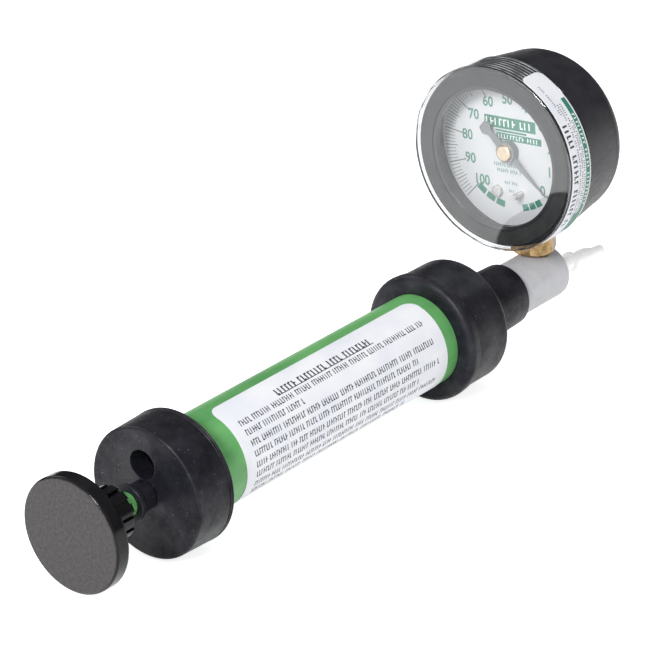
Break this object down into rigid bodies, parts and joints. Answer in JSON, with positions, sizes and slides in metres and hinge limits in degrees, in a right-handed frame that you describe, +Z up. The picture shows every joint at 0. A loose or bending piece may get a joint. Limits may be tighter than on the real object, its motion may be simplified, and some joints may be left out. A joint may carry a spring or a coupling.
{
  "type": "hand vacuum pump",
  "caption": "Hand-pulled plunger vacuum pump: round knob, green labelled barrel between black rubber ends, white tee with a round dial gauge on a brass stem, tilting release nozzle.",
  "frame": {"origin": "centre of the knob's push face", "axes": "+X along the pump's axis from the knob to the nozzle, +Z up through the gauge"},
  "size_m": [0.2876, 0.0688, 0.1088],
  "materials": {
    "black_knob": "polished, faintly mottled face",
    "green_plastic": "satin green, moulded through",
    "black_rubber": "soft sheen",
    "seal_rubber": "matt",
    "steel": "plain zinc",
    "label": "printed vinyl film",
    "grey_plastic": "moulded",
    "white_nylon": "frosted nylon",
    "pale_nylon": "translucent nylon",
    "brass": "turned",
    "bronze": "drawn",
    "black_case": "satin",
    "black_bezel": "gloss",
    "clear_cover": "clear polycarbonate",
    "dial": "white enamel",
    "pointer_paint": "satin"
  },
  "bodies": {
    "pump": {"rear_cap": "black_rubber", "barrel_tube": "green_plastic", "barrel_label": "label", "front_boot": "black_rubber", "end_plug": "grey_plastic", "valve_cage": "white_nylon", "tee_fitting": "white_nylon", "nozzle_retainer": "white_nylon", "gauge_stem": "brass", "gauge_case": "black_case", "threaded_bezel": "black_bezel", "clear_cover": "clear_cover", "cover_gasket": "seal_rubber", "gauge_label": "label", "dial_plate": "dial", "dial_screw": "steel", "stop_peg": "steel", "front_movement_plate": "brass", "back_movement_plate": "brass", "movement_pillars": "brass", "movement_screws": "steel", "mounting_screws": "steel", "bourdon_tube": "bronze", "bourdon_end": "brass"},
    "plunger": {"knob": "black_knob", "plunger_rod": "green_plastic", "rod_bumper": "black_rubber", "rear_piston_washer": "steel", "cup_seal": "black_rubber", "front_piston_washer": "steel", "piston_nut": "steel"},
    "inlet_ball": {"valve_ball": "steel"},
    "seal_cup": {"nozzle_seal_cup": "seal_rubber"},
    "nozzle": {"nozzle": "pale_nylon"},
    "sector": {"sector_gear": "brass"},
    "pointer": {"pointer": "pointer_paint", "pointer_cap": "brass", "pinion_shaft": "brass", "hairspring": "bronze"},
    "link": {"link": "brass"}
  },
  "joints": [
    {"name": "plunger_slide", "type": "slide", "parent": "pump", "child": "plunger", "axis": [-1, 0, 0], "range_m": [0, 0.114]},
    {"name": "ball_lift", "type": "slide", "parent": "pump", "child": "inlet_ball", "axis": [-1, 0, 0], "range_m": [0, 0.0015]},
    {"name": "tip_pitch", "type": "hinge", "parent": "pump", "child": "seal_cup", "pos_m": [0.2511, 0, -0.0009], "axis": [0, 1, 0], "range_deg": [-14, 2]},
    {"name": "tip_yaw", "type": "hinge", "parent": "seal_cup", "child": "nozzle", "pos_m": [0.2511, 0, -0.0009], "axis": [0, 0, 1], "range_deg": [-8, 8]},
    {"name": "sector_turn", "type": "hinge", "parent": "pump", "child": "sector", "pos_m": [0.243, 0, 0.03468], "axis": [-1, 0, 0], "range_deg": [-33.38, 0]},
    {"name": "pointer_turn", "type": "hinge", "parent": "pump", "child": "pointer", "pos_m": [0.2372, 0, 0.0511], "axis": [-1, 0, 0], "range_deg": [0, 267]},
    {"name": "link_turn", "type": "hinge", "parent": "sector", "child": "link", "pos_m": [0.24465, -0.00158, 0.02941], "axis": [-1, 0, 0], "range_deg": [0, 33.38]}
  ],
  "couplings": [
    {"joint": "pointer_turn", "follows": "sector_turn", "ratio": -8},
    {"joint": "link_turn", "follows": "sector_turn", "ratio": -1}
  ]
}
